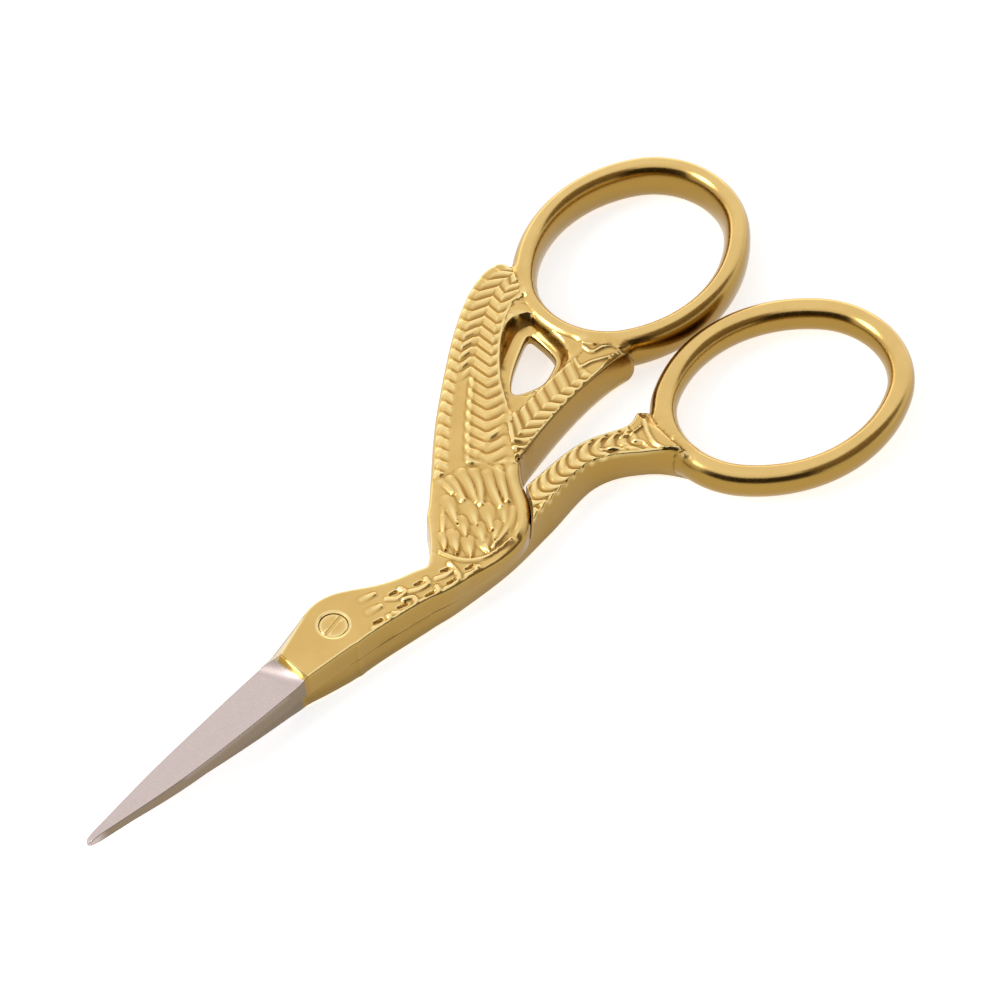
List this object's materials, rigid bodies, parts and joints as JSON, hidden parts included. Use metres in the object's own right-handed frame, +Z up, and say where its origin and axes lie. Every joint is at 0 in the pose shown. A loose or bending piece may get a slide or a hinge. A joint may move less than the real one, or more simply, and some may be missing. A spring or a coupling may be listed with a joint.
{
  "type": "embroidery scissors",
  "caption": "Small scissors shaped like a stork: two gilt steel halves with a long-beak blade and an oval finger ring each, turning on one slotted pivot screw.",
  "frame": {"origin": "on the pivot axis, at the plane on which the closed scissors lie", "axes": "+Z up along the pivot axis, +Y from the pivot towards the finger rings, -Y towards the blade tips, +X to the back half's ring"},
  "size_m": [0.0414, 0.0924, 0.0046],
  "materials": {
    "front_half": "gold-plated satin on the handle, bare ground steel on the blade",
    "back_half": "gold-plated satin on the handle, bare ground steel on the blade",
    "pivot_screw": "gold-plated, turned face with a fine slot"
  },
  "bodies": {
    "back": {"back_half": "back_half", "pivot_screw": "pivot_screw"},
    "front": {"front_half": "front_half"}
  },
  "joints": [
    {"name": "pivot", "type": "hinge", "parent": "back", "child": "front", "pos_m": [0, 0, 0], "axis": [0, 0, 1], "range_deg": [0, 60]}
  ]
}
